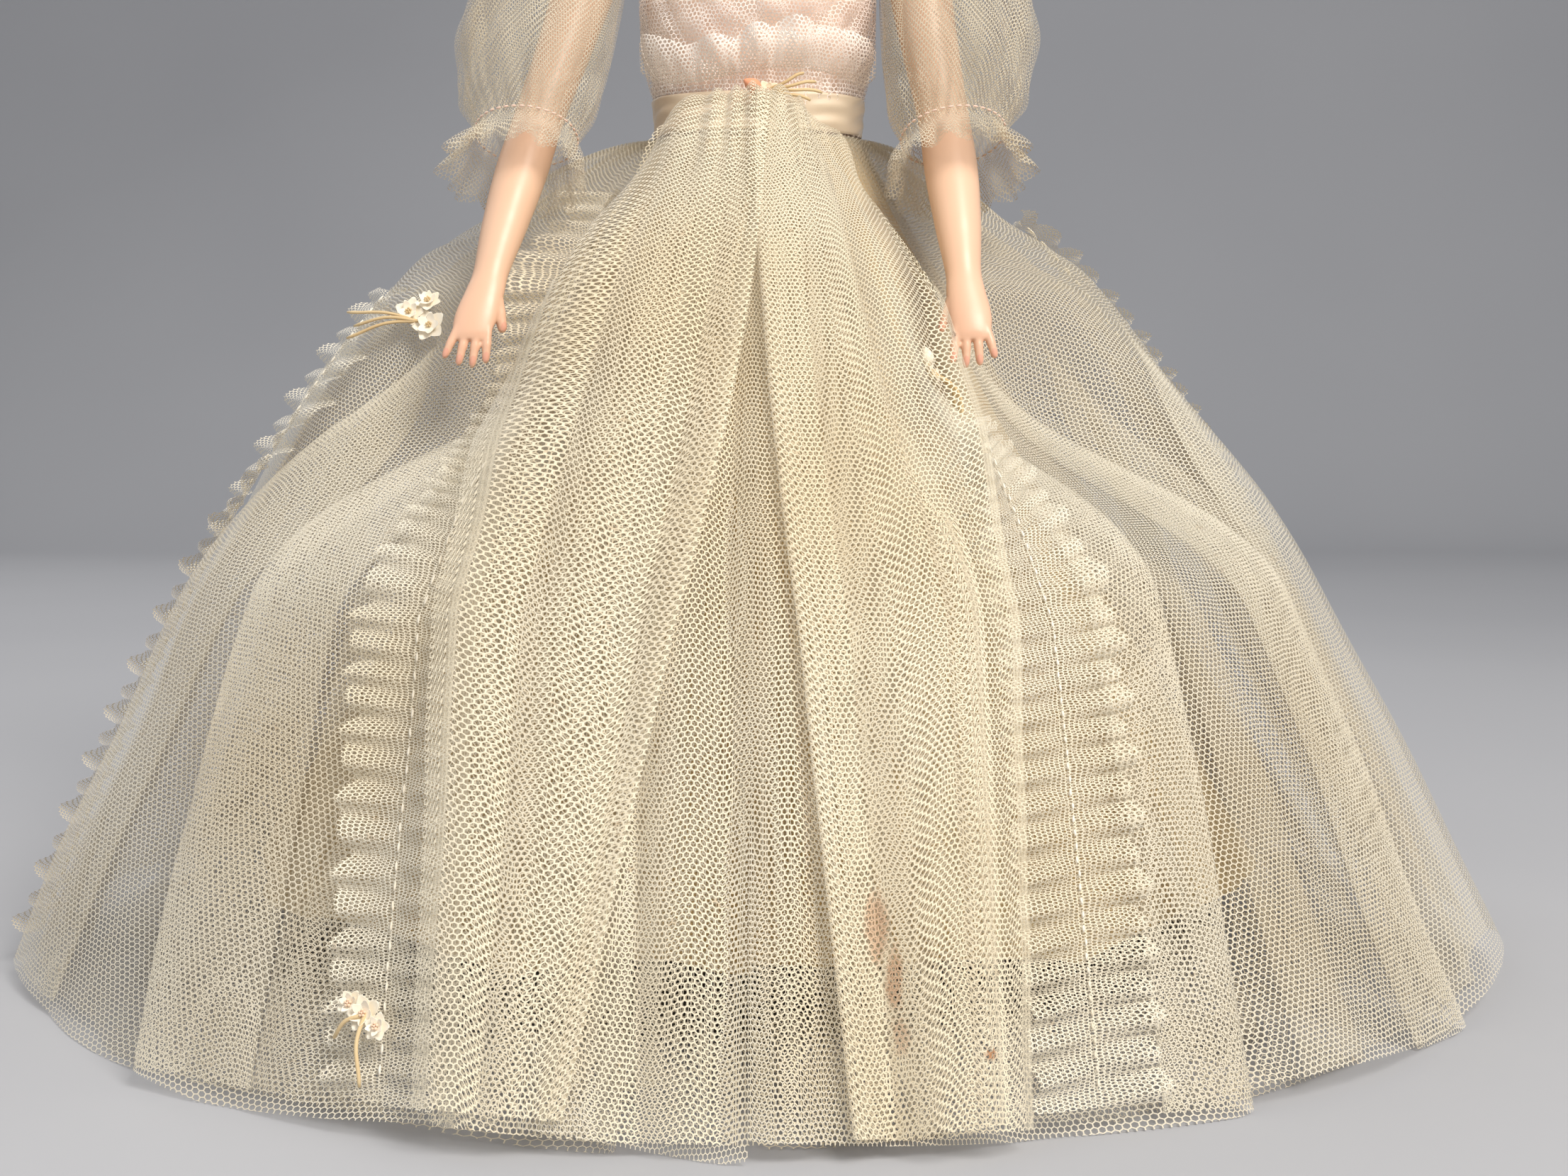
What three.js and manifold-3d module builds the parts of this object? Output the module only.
// A standing fashion doll in a full-length tulle ball gown, built as a strung doll is: two hollow
// torso shells, a turning head with sleep eyes, arms and legs held by hooks and elastic, and a gown
// of separate cloth layers. Millimetres, +Z up. The doll faces -Y and its left side is +X.
import * as THREE from "three";
import { mergeVertices } from "three/addons/utils/BufferGeometryUtils.js";
import Module from "manifold-3d";

const wasm = await Module();
wasm.setup();

// Heights of the doll, from the floor up
const HIP_HEIGHT = 230;
const HIP_TO_WAIST = 50;
const WAIST_TO_SHOULDER = 77;
const SHOULDER_TO_NECK = 20;
const NECK_LENGTH = 17;
const FACE_HEIGHT = 60;

// Girths of the body, as half widths and half depths
const WAIST_HALF_WIDTH = 32.5;
const WAIST_HALF_DEPTH = 23.5;
const BUST_HALF_WIDTH = 38.5;
const BUST_HALF_DEPTH = 30;
const HIP_HALF_WIDTH = 43;
const HIP_HALF_DEPTH = 29;
const SHOULDER_HALF_WIDTH = 41;
const NECK_RADIUS = 10.5;
const SHELL_WALL = 2.4;

// Head, wig and sleep eyes
const HEAD_HALF_WIDTH = 25;
const HEAD_HALF_DEPTH = 29;
const HEAD_WALL = 3;
const WIG_THICKNESS = 5.5;
const WIG_WAVE = 1.4;
const BUN_RADIUS = 13;
const EYE_SPACING = 19;
const EYE_RADIUS = 6.2;
const EYE_DEPTH = 15.5;
const EYE_OPENING_HALF_WIDTH = 5.2;
const EYE_OPENING_HALF_HEIGHT = 3.1;
const EYE_WEIGHT_DROP = 13;
const EYE_WEIGHT_RADIUS = 4;

// Joint axes, their seats, and the gap between pieces that touch
const AXIS_Y = 1;
const CLEARANCE = 0.3;
const PELVIS_HALF_WIDTH = 13;
const LEG_DISC_RADIUS = 24;
const SHOULDER_RADIUS = 12;
const FOOT_OFFSET = 18;

// Stringing: wire hooks and elastic cord
const WIRE_RADIUS = 1.5;
const HOOK_BALL_RADIUS = 3;
const HOOK_PLUG_RADIUS = 2.7;
const HOOK_PLUG_LENGTH = 7;
const ARM_HOOK_REACH = 8;
const LEG_HOOK_REACH = 6.5;
const NECK_HOOK_REACH = 11;
const ELASTIC_RADIUS = 1.5;
const TUNNEL_RADIUS = 5;

// How far each wrist is splayed outwards from a straight hanging arm
const LEFT_SPLAY = 0;
const RIGHT_SPLAY = 19;
const ARM_DROP = 126;

// Shoes
const SHOE_WALL = 1.2;
const SOLE_HALF_WIDTH = 7.4;
const SOLE_HALF_LENGTH = 15;
const SOLE_THICKNESS = 4.6;
const HEEL_RADIUS = 3;
const HEEL_FLARE = 1.6;
const HEEL_HEIGHT = 21;

// Gown
const CLOTH = 0.6;
const LAYER_GAP = 0.4;
const LINING_GAP = 0.4;
const GATHER_DEPTH = 1.2;
const SASH_HEIGHT = 13;
const SASH_THICKNESS = 1;
const NECKLINE_DROP = 19;
const FRILL_WIDTH = 9;
const FRILL_WAVE = 2.5;
const SNAP_RADIUS = 2.4;
const SNAP_HEIGHT = 1.2;
const SNAP_SINK = 0.6;
const HEM_RADIUS = 246;
const HEM_SWELL = 7;
const HEM_SWELLS = 13;
const PETTICOAT_HEM_RADIUS = 214;
const PETTICOAT_HEM_HEIGHT = 2;
const SLIP_HEM_RADIUS = 190;
const SLIP_HEM_HEIGHT = 26;
const SLIP_SWELL = 8;
const SLIP_SWELLS = 9;
const SLIP_TUCK = 6;
const PANEL_TOP_HALF_WIDTH = 26;
const PANEL_HEM_HALF_WIDTH = 74;
const PANEL_FOLDS = 4;
const PANEL_FOLD_DEPTH = 3.4;
const PANEL_STAND = 2.2;
const PANEL_EDGE_LIFT = 9.5;
const RUCHE_WIDTH = 36;
const RUCHE_PITCH = 34;
const RUCHE_WAVE = 4;
const RUCHE_RISE = 2.2;
const RUCHE_HEM_REACH = 88;
const RUCHE_RIGHT_REACH = 50;
const RUCHE_LEFT_REACH = 70;
const TRIM_HEM_HEIGHT = 6;
const SLEEVE_WAVE = 0.05;

// Places that follow from the sizes above
const WAIST_HEIGHT = HIP_HEIGHT + HIP_TO_WAIST;
const SHOULDER_HEIGHT = WAIST_HEIGHT + WAIST_TO_SHOULDER;
const NECK_HEIGHT = SHOULDER_HEIGHT + SHOULDER_TO_NECK;
const SHOULDER_TOP = THREE.MathUtils.lerp(SHOULDER_HEIGHT, NECK_HEIGHT, 0.4);
const OVERLAY_GAP = LINING_GAP + CLOTH + LAYER_GAP;
const SASH_GAP = OVERLAY_GAP + CLOTH + GATHER_DEPTH + LAYER_GAP;
const BEYOND = 3 * SHOULDER_HALF_WIDTH;
const FULL_TURN = Math.PI * 2;

const radians = THREE.MathUtils.degToRad;
const lerp = THREE.MathUtils.lerp;
const smoothstep = THREE.MathUtils.smoothstep;
const at = (x, y, z) => new THREE.Vector3(x, y, z);
const bell = (value, centre, spread) => Math.exp(-(((value - centre) / spread) ** 2));
const counted = (count, make) => Array.from({ length: count }, (_, index) => make(index));

const skin = new THREE.MeshStandardMaterial({ color: 0xebcba8, roughness: 0.45 });
const hair = new THREE.MeshStandardMaterial({ color: 0x6b4328, roughness: 0.6 });
const eyeGlass = new THREE.MeshStandardMaterial({ color: 0xf4f1ea, roughness: 0.2 });
const steel = new THREE.MeshStandardMaterial({ color: 0xa9abad, roughness: 0.4, metalness: 0.9 });
const rubberCord = new THREE.MeshStandardMaterial({ color: 0x4a4038, roughness: 0.9 });
const shoeLeather = new THREE.MeshStandardMaterial({ color: 0xe9dcc6, roughness: 0.5 });
const peachCloth = new THREE.MeshStandardMaterial({ color: 0xebc3a6, roughness: 0.8 });
const ivoryTulle = new THREE.MeshStandardMaterial({ color: 0xe2d6bd, roughness: 0.9 });
const agedTaffeta = new THREE.MeshStandardMaterial({ color: 0xe3cfa6, roughness: 0.7 });
const satin = new THREE.MeshStandardMaterial({ color: 0xf0e3cf, roughness: 0.35 });
const petalCloth = new THREE.MeshStandardMaterial({ color: 0xf0e4c4, roughness: 0.8 });

const doll = new THREE.Group();

function addPiece(group, name, geometry, material) {
  const mesh = new THREE.Mesh(geometry, material);
  mesh.name = name;
  group.add(mesh);
}

function groupAt(x, y, z) {
  const group = new THREE.Group();
  group.position.set(x, y, z);
  doll.add(group);
  return group;
}

// A closed surface from points and triangles, turned so that its faces point out
function closedGeometry(points, triangles) {
  let volume = 0;
  for (const [a, b, c] of triangles) {
    volume += points[a].dot(points[b].clone().cross(points[c]));
  }
  const facing = volume > 0 ? triangles : triangles.map(([a, b, c]) => [a, c, b]);
  const geometry = new THREE.BufferGeometry();
  const positions = points.flatMap((point) => [point.x, point.y, point.z]);
  geometry.setAttribute("position", new THREE.Float32BufferAttribute(positions, 3));
  geometry.setIndex(facing.flat());
  return geometry;
}

// The same surface with shared points merged and empty triangles dropped
function welded(geometry) {
  const bare = geometry.clone();
  bare.deleteAttribute("normal");
  bare.deleteAttribute("uv");
  const merged = mergeVertices(bare, 1e-4);
  const position = merged.attributes.position;
  const points = counted(position.count, (index) => new THREE.Vector3().fromBufferAttribute(position, index));
  const corners = merged.index.array;
  const triangles = counted(corners.length / 3, (index) => [...corners.slice(index * 3, index * 3 + 3)]);
  return closedGeometry(points, triangles.filter(([a, b, c]) => a !== b && b !== c && a !== c));
}

function centroid(ring) {
  return ring.reduce((sum, point) => sum.add(point), at(0, 0, 0)).divideScalar(ring.length);
}

// A solid through closed rings of equal point counts, capped at both ends
function loft(rings) {
  const sides = rings[0].length;
  const points = rings.flat();
  const triangles = [];
  for (let ring = 0; ring + 1 < rings.length; ring++) {
    for (let side = 0; side < sides; side++) {
      const a = ring * sides + side;
      const b = ring * sides + ((side + 1) % sides);
      triangles.push([a, b, a + sides], [b, b + sides, a + sides]);
    }
  }
  const last = (rings.length - 1) * sides;
  const firstCentre = points.push(centroid(rings[0])) - 1;
  const lastCentre = points.push(centroid(rings[rings.length - 1])) - 1;
  for (let side = 0; side < sides; side++) {
    const next = (side + 1) % sides;
    triangles.push([next, side, firstCentre], [last + side, last + next, lastCentre]);
  }
  return closedGeometry(points, triangles);
}

// A thin closed sheet between an outer and an inner grid of points. Grids are lists of rows. A sheet
// that goes all the way round joins its last column to its first one.
function sheet(outer, inner, goesRound) {
  const rows = outer.length;
  const columns = outer[0].length;
  const points = [...outer.flat(), ...inner.flat()];
  const back = rows * columns;
  const steps = goesRound ? columns : columns - 1;
  const index = (row, column) => row * columns + (column % columns);
  const triangles = [];
  for (let row = 0; row + 1 < rows; row++) {
    for (let column = 0; column < steps; column++) {
      const a = index(row, column);
      const b = index(row, column + 1);
      const c = index(row + 1, column);
      const d = index(row + 1, column + 1);
      triangles.push([a, b, c], [b, d, c]);
      triangles.push([back + a, back + c, back + b], [back + b, back + c, back + d]);
    }
  }
  for (let column = 0; column < steps; column++) {
    const a = index(0, column);
    const b = index(0, column + 1);
    triangles.push([a, back + a, b], [b, back + a, back + b]);
    const c = index(rows - 1, column);
    const d = index(rows - 1, column + 1);
    triangles.push([c, d, back + c], [d, back + d, back + c]);
  }
  for (let row = 0; row + 1 < rows && !goesRound; row++) {
    const a = index(row, 0);
    const c = index(row + 1, 0);
    triangles.push([a, c, back + a], [c, back + c, back + a]);
    const b = index(row, columns - 1);
    const d = index(row + 1, columns - 1);
    triangles.push([b, back + b, d], [d, back + b, back + d]);
  }
  return closedGeometry(points, triangles);
}

function toSolid(geometry) {
  const clean = welded(geometry);
  const vertProperties = new Float32Array(clean.attributes.position.array);
  const triVerts = new Uint32Array(clean.index.array);
  return new wasm.Manifold(new wasm.Mesh({ numProp: 3, vertProperties, triVerts }));
}

function toGeometry(solid) {
  const mesh = solid.getMesh();
  const geometry = new THREE.BufferGeometry();
  geometry.setAttribute("position", new THREE.Float32BufferAttribute(mesh.vertProperties, 3));
  geometry.setIndex(Array.from(mesh.triVerts));
  return geometry;
}

function join(...geometries) {
  return toGeometry(geometries.map(toSolid).reduce((whole, solid) => whole.add(solid)));
}

function cut(geometry, ...cutters) {
  return toGeometry(cutters.reduce((rest, cutter) => rest.subtract(toSolid(cutter)), toSolid(geometry)));
}

function keep(geometry, region) {
  return toGeometry(toSolid(geometry).intersect(toSolid(region)));
}

// A box between two corners given in any order
function box(corner, opposite) {
  const bounds = new THREE.Box3().setFromPoints([corner, opposite]);
  const size = bounds.getSize(at(0, 0, 0));
  const middle = bounds.getCenter(at(0, 0, 0));
  return new THREE.BoxGeometry(size.x, size.y, size.z).translate(middle.x, middle.y, middle.z);
}

function rodX(radius, from, to, y, z, sides) {
  const rod = new THREE.CylinderGeometry(radius, radius, Math.abs(to - from), sides);
  return rod.rotateZ(Math.PI / 2).translate((from + to) / 2, y, z);
}

function rodZ(radius, from, to, x, y, sides) {
  const rod = new THREE.CylinderGeometry(radius, radius, Math.abs(to - from), sides);
  return rod.rotateX(Math.PI / 2).translate(x, y, (from + to) / 2);
}

function ellipsoid(centre, radii, sides) {
  const round = new THREE.SphereGeometry(1, sides, Math.ceil(sides / 2));
  return round.scale(radii.x, radii.y, radii.z).translate(centre.x, centre.y, centre.z);
}

// A body of revolution about the X axis, from pairs of place along the axis and radius
function turnedAboutX(profile, sides) {
  const outline = profile.map(([along, radius]) => new THREE.Vector2(radius, along));
  return welded(new THREE.LatheGeometry(outline, sides).rotateZ(-Math.PI / 2));
}

// A tube along a smooth curve through points
function tube(points, radius, steps, sides) {
  const section = new THREE.Shape().absarc(0, 0, radius, 0, FULL_TURN);
  const extrudePath = new THREE.CatmullRomCurve3(points);
  return welded(new THREE.ExtrudeGeometry(section, { steps, curveSegments: sides, extrudePath }));
}

// A limb through oval sections. Each station is x, y, z, half width and half depth, and each section
// stands square to the line through its neighbours.
function limb(stations, sides, swell = 0) {
  const centres = stations.map(([x, y, z]) => at(x, y, z));
  const rings = stations.map(([, , , halfWidth, halfDepth], station) => {
    const before = centres[Math.max(station - 1, 0)];
    const after = centres[Math.min(station + 1, centres.length - 1)];
    const along = after.clone().sub(before).normalize();
    const across = at(1, 0, 0).addScaledVector(along, -along.x).normalize();
    const deep = along.clone().cross(across);
    return counted(sides, (side) => {
      const angle = (side / sides) * FULL_TURN;
      return centres[station]
        .clone()
        .addScaledVector(across, (halfWidth + swell) * Math.cos(angle))
        .addScaledVector(deep, (halfDepth + swell) * Math.sin(angle));
    });
  });
  return loft(rings);
}

// Straight-line reading of a table whose first column is height
function rowAt(rows, height) {
  const above = rows.findIndex((row) => row[0] > height);
  const upper = above < 0 ? rows.length - 1 : Math.max(above, 1);
  const low = rows[upper - 1];
  const high = rows[upper];
  const share = THREE.MathUtils.clamp((height - low[0]) / (high[0] - low[0]), 0, 1);
  return low.map((value, column) => lerp(value, high[column], share));
}

// Oval ring from a table row of height, half width, half depth and shift in Y. Angle 0 is the front.
function ovalPoint(row, angle, offset) {
  const [height, halfWidth, halfDepth, shift] = row;
  return at((halfWidth + offset) * Math.sin(angle), shift - (halfDepth + offset) * Math.cos(angle), height);
}

function ovalRing(row, offset, sides) {
  return counted(sides, (side) => ovalPoint(row, (side / sides) * FULL_TURN, offset));
}

// Torso: height, half width, half depth and shift in Y, from crotch to neck
const torsoRows = [
  [HIP_HEIGHT - LEG_DISC_RADIUS + 2, PELVIS_HALF_WIDTH - 4, 14, AXIS_Y],
  [HIP_HEIGHT - LEG_DISC_RADIUS / 2, PELVIS_HALF_WIDTH * 2, 21, AXIS_Y],
  [HIP_HEIGHT, HIP_HALF_WIDTH - 2, HIP_HALF_DEPTH - 1, AXIS_Y],
  [lerp(HIP_HEIGHT, WAIST_HEIGHT, 0.3), HIP_HALF_WIDTH, HIP_HALF_DEPTH, AXIS_Y],
  [
    lerp(HIP_HEIGHT, WAIST_HEIGHT, 0.65),
    lerp(HIP_HALF_WIDTH, WAIST_HALF_WIDTH, 0.5),
    lerp(HIP_HALF_DEPTH, WAIST_HALF_DEPTH, 0.5),
    AXIS_Y,
  ],
  [WAIST_HEIGHT, WAIST_HALF_WIDTH, WAIST_HALF_DEPTH, 0],
  [lerp(WAIST_HEIGHT, SHOULDER_HEIGHT, 0.2), WAIST_HALF_WIDTH + 1, WAIST_HALF_DEPTH + 1, 0],
  [lerp(WAIST_HEIGHT, SHOULDER_HEIGHT, 0.44), BUST_HALF_WIDTH - 1.5, BUST_HALF_DEPTH - 2.5, -1.5],
  [lerp(WAIST_HEIGHT, SHOULDER_HEIGHT, 0.62), BUST_HALF_WIDTH, BUST_HALF_DEPTH, -3],
  [lerp(WAIST_HEIGHT, SHOULDER_HEIGHT, 0.81), BUST_HALF_WIDTH, BUST_HALF_DEPTH - 5, -1],
  [SHOULDER_HEIGHT, SHOULDER_HALF_WIDTH + 2, 19, AXIS_Y],
  [SHOULDER_TOP, SHOULDER_HALF_WIDTH - 6, 16.5, AXIS_Y],
  [lerp(SHOULDER_HEIGHT, NECK_HEIGHT, 0.75), NECK_RADIUS * 2, 13.5, AXIS_Y],
  [NECK_HEIGHT, NECK_RADIUS + 2, NECK_RADIUS + 1.5, AXIS_Y],
];
const TORSO_SIDES = 16;

// Two hollow half shells with leg sockets, arm seats and tunnels for the stringing
function buildTorso() {
  const outer = loft(torsoRows.map((row) => ovalRing(row, 0, TORSO_SIDES)));
  const socketRadius = LEG_DISC_RADIUS + CLEARANCE;
  const floor = HIP_HEIGHT + socketRadius + SHELL_WALL;
  const inside = torsoRows.filter(([height]) => height > floor + 1 && height < SHOULDER_TOP);
  const cavityRows = [rowAt(torsoRows, floor), ...inside, rowAt(torsoRows, SHOULDER_TOP)];
  const cavity = loft(cavityRows.map((row) => ovalRing(row, -SHELL_WALL, TORSO_SIDES / 2)));
  const far = HIP_HALF_WIDTH * 2;
  const stringHole = HOOK_BALL_RADIUS + 1;
  const cutters = [
    cavity,
    rodX(TUNNEL_RADIUS, -far, far, AXIS_Y, SHOULDER_HEIGHT, 12),
    rodX(stringHole, -far, far, AXIS_Y, HIP_HEIGHT, 12),
    rodZ(stringHole, HIP_HEIGHT, floor + 1, 0, AXIS_Y, 12),
    rodZ(TUNNEL_RADIUS, SHOULDER_HEIGHT, NECK_HEIGHT + 1, 0, AXIS_Y, 12),
  ];
  for (const side of [-1, 1]) {
    const lip = HIP_HEIGHT + 4;
    cutters.push(rodX(socketRadius, side * PELVIS_HALF_WIDTH, side * far, AXIS_Y, HIP_HEIGHT, 28));
    cutters.push(box(at(side * PELVIS_HALF_WIDTH, -far, 0), at(side * far, far, lip)));
    cutters.push(box(at(side * SHOULDER_HALF_WIDTH, -far, WAIST_HEIGHT), at(side * far, far, NECK_HEIGHT)));
  }
  const hollow = cut(outer, ...cutters);
  const front = box(at(-far, -far, 0), at(far, AXIS_Y - CLEARANCE / 2, NECK_HEIGHT + 1));
  const rear = box(at(-far, AXIS_Y + CLEARANCE / 2, 0), at(far, far, NECK_HEIGHT + 1));
  addPiece(doll, "torso_front_shell", keep(hollow, front), skin);
  addPiece(doll, "torso_back_shell", keep(hollow, rear), skin);
}

// A turned wire hook on a joint axis: the plug in the limb, the shank and the ball in the body
function hookAlongX(side, reach) {
  const neck = [
    [HOOK_PLUG_LENGTH, 0],
    [HOOK_PLUG_LENGTH, HOOK_PLUG_RADIUS],
    [CLEARANCE * 2, HOOK_PLUG_RADIUS],
    [CLEARANCE * 2, WIRE_RADIUS],
  ];
  const round = [0.53, 1.3, 2.2].map((angle) => {
    return [HOOK_BALL_RADIUS * Math.cos(angle) - reach, HOOK_BALL_RADIUS * Math.sin(angle)];
  });
  const profile = [...neck, ...round, [-reach - HOOK_BALL_RADIUS, 0]];
  return turnedAboutX(profile.map(([along, radius]) => [side * along, radius]), 8);
}

// The cords between the hooks. The body cord passes in front of the arm cord.
function buildStringing() {
  const armEnd = SHOULDER_HALF_WIDTH - ARM_HOOK_REACH - HOOK_BALL_RADIUS - CLEARANCE;
  const armCord = rodX(ELASTIC_RADIUS, -armEnd, armEnd, AXIS_Y, SHOULDER_HEIGHT, 8);
  addPiece(doll, "arm_elastic", armCord, rubberCord);
  const hipEnd = PELVIS_HALF_WIDTH - LEG_HOOK_REACH - HOOK_BALL_RADIUS - CLEARANCE;
  const hipCord = rodX(ELASTIC_RADIUS, -hipEnd, hipEnd, AXIS_Y, HIP_HEIGHT, 8);
  addPiece(doll, "hip_elastic", hipCord, rubberCord);
  const top = NECK_HEIGHT - NECK_HOOK_REACH - HOOK_BALL_RADIUS - CLEARANCE;
  const aside = AXIS_Y - 4 * ELASTIC_RADIUS;
  const route = [
    at(0, AXIS_Y, top),
    at(0, aside, SHOULDER_HEIGHT - 2),
    at(0, AXIS_Y, lerp(WAIST_HEIGHT, SHOULDER_HEIGHT, 0.4)),
    at(0, AXIS_Y, WAIST_HEIGHT),
    at(0, AXIS_Y, HIP_HEIGHT + ELASTIC_RADIUS + CLEARANCE),
  ];
  addPiece(doll, "body_elastic", tube(route, ELASTIC_RADIUS, 12, 3), rubberCord);
}

// Head: height above the neck seat, half width, half depth and shift in Y
const chin = NECK_LENGTH;
const crown = NECK_LENGTH + FACE_HEIGHT;
const headRows = [
  [CLEARANCE, NECK_RADIUS, NECK_RADIUS, 0],
  [chin * 0.45, NECK_RADIUS - 0.8, NECK_RADIUS - 0.4, 1],
  [chin * 0.85, NECK_RADIUS, NECK_RADIUS + 2, 0.5],
  [chin + FACE_HEIGHT * 0.02, HEAD_HALF_WIDTH * 0.5, HEAD_HALF_DEPTH * 0.64, -3],
  [chin + FACE_HEIGHT * 0.13, HEAD_HALF_WIDTH * 0.74, HEAD_HALF_DEPTH * 0.79, -2.5],
  [chin + FACE_HEIGHT * 0.28, HEAD_HALF_WIDTH * 0.9, HEAD_HALF_DEPTH * 0.9, -1],
  [chin + FACE_HEIGHT * 0.47, HEAD_HALF_WIDTH * 0.98, HEAD_HALF_DEPTH * 0.97, 0.5],
  [chin + FACE_HEIGHT * 0.67, HEAD_HALF_WIDTH, HEAD_HALF_DEPTH, 1.5],
  [chin + FACE_HEIGHT * 0.84, HEAD_HALF_WIDTH * 0.88, HEAD_HALF_DEPTH * 0.86, 2],
  [chin + FACE_HEIGHT * 0.94, HEAD_HALF_WIDTH * 0.62, HEAD_HALF_DEPTH * 0.6, 2],
  [crown - 0.6, HEAD_HALF_WIDTH * 0.28, HEAD_HALF_DEPTH * 0.28, 2],
  [crown, HEAD_HALF_WIDTH * 0.05, HEAD_HALF_DEPTH * 0.05, 2],
];
const eyeHeight = chin + FACE_HEIGHT * 0.46;

// Forms of the face over the plain oval: rise, place and spread in degrees round the head, and place
// and spread up the face as shares of its height. Those beside the middle come in pairs.
const faceForms = {
  noseTip: [4.6, 0, 6, 0.23, 0.05],
  noseBridge: [2.2, 0, 6, 0.36, 0.1],
  lips: [1.5, 0, 12, 0.142, 0.03],
  chin: [1.8, 0, 14, 0, 0.06],
  cheeks: [1.2, 38, 18, 0.24, 0.11],
  eyeHollows: [-2, 22, 10, 0.46, 0.07],
  brows: [0.8, 20, 14, 0.6, 0.05],
};

function faceRelief(angle, height) {
  const turn = THREE.MathUtils.radToDeg(angle);
  const up = (height - chin) / FACE_HEIGHT;
  let rise = 0;
  for (const [depth, centre, spread, place, span] of Object.values(faceForms)) {
    const round = centre ? bell(Math.abs(turn), centre, spread) : bell(turn, 0, spread);
    rise += depth * round * bell(up, place, span);
  }
  return rise;
}

// Face columns stand closer together than those at the back
const headAngles = [
  ...counted(15, (step) => radians(-49 + 7 * step)),
  ...counted(8, (step) => radians(73 + 30.6 * step)),
];

function headPoint(row, angle, offset) {
  const wrapped = angle > Math.PI ? angle - FULL_TURN : angle;
  return ovalPoint(row, angle, offset + faceRelief(wrapped, row[0]));
}

const FACE_STEPS = 12;

function buildHead(group) {
  const faceSteps = counted(FACE_STEPS, (step) => chin + FACE_HEIGHT * (0.02 + 0.054 * step));
  const heights = [
    ...headRows.map(([height]) => height).filter((height) => height < faceSteps[0] - 0.5),
    ...faceSteps,
    ...headRows.map(([height]) => height).filter((height) => height > faceSteps[FACE_STEPS - 1] + 1),
  ];
  const rings = heights.map((height) => {
    const row = rowAt(headRows, height);
    return headAngles.map((angle) => headPoint(row, angle, 0));
  });
  const hollowHeights = [chin + 4, chin + FACE_HEIGHT * 0.28, eyeHeight, chin + FACE_HEIGHT * 0.7, crown - 6];
  const hollow = hollowHeights.map((height) => ovalRing(rowAt(headRows, height), -HEAD_WALL - 0.6, 14));
  const cutters = [
    loft(hollow),
    rodZ(WIRE_RADIUS + 1, -1, chin, 0, 0, 10),
    rodZ(NECK_RADIUS - HEAD_WALL, chin * 0.5, chin + 6, 0, 0, 14),
  ];
  for (const side of [-1, 1]) {
    const centre = at((side * EYE_SPACING) / 2, -EYE_DEPTH, eyeHeight);
    const socket = EYE_RADIUS + CLEARANCE;
    cutters.push(ellipsoid(centre, at(socket, socket, socket), 14));
    const opening = new THREE.CylinderGeometry(1, 1, HEAD_HALF_DEPTH, 12);
    opening.scale(EYE_OPENING_HALF_WIDTH, 1, EYE_OPENING_HALF_HEIGHT);
    cutters.push(opening.translate(centre.x, -EYE_DEPTH - HEAD_HALF_DEPTH / 2, eyeHeight));
  }
  addPiece(group, "head_shell", cut(loft(rings), ...cutters), skin);
}

// Waved hair cap, open over the face and seated on the head
const WIG_SIDES = 20;
function buildWig(group) {
  const nape = chin + FACE_HEIGHT * 0.04;
  const heights = counted(8, (step) => lerp(nape, crown - 1, Math.sin((step / 7) * (Math.PI / 2))));
  const rings = heights.map((height) => {
    const row = rowAt(headRows, height);
    return counted(WIG_SIDES, (side) => {
      const angle = (side / WIG_SIDES) * FULL_TURN;
      const wave = WIG_WAVE * Math.cos((WIG_SIDES / 2) * angle) * smoothstep(crown - height, 4, 20);
      const fall = 4 * (1 - smoothstep(height, nape, nape + 18));
      return ovalPoint(row, angle, WIG_THICKNESS + wave + fall);
    });
  });
  const top = rowAt(headRows, crown);
  rings.push(ovalRing([crown + WIG_THICKNESS, top[1], top[2], top[3]], 4, WIG_SIDES));
  const scalpHeights = [nape - 8, ...headRows.map(([height]) => height).filter((height) => height > nape)];
  const scalp = scalpHeights.map((height) => ovalRing(rowAt(headRows, height), CLEARANCE + 1.4, 16));
  const lift = CLEARANCE + 0.2;
  scalp.push(ovalRing([crown + lift, 3, 3, 2], 0, 16));
  const face = at(0, -HEAD_HALF_DEPTH, chin + FACE_HEIGHT * 0.32);
  const faceRadii = at(HEAD_HALF_WIDTH * 0.86, HEAD_HALF_DEPTH * 0.95, FACE_HEIGHT * 0.46);
  const bunAt = at(0, HEAD_HALF_DEPTH + BUN_RADIUS * 0.55, chin + FACE_HEIGHT * 0.66);
  const bun = ellipsoid(bunAt, at(BUN_RADIUS * 1.15, BUN_RADIUS * 0.8, BUN_RADIUS), 12);
  const whole = join(loft(rings), bun);
  addPiece(group, "wig", cut(whole, loft(scalp), ellipsoid(face, faceRadii, 16)), hair);
}

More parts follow.
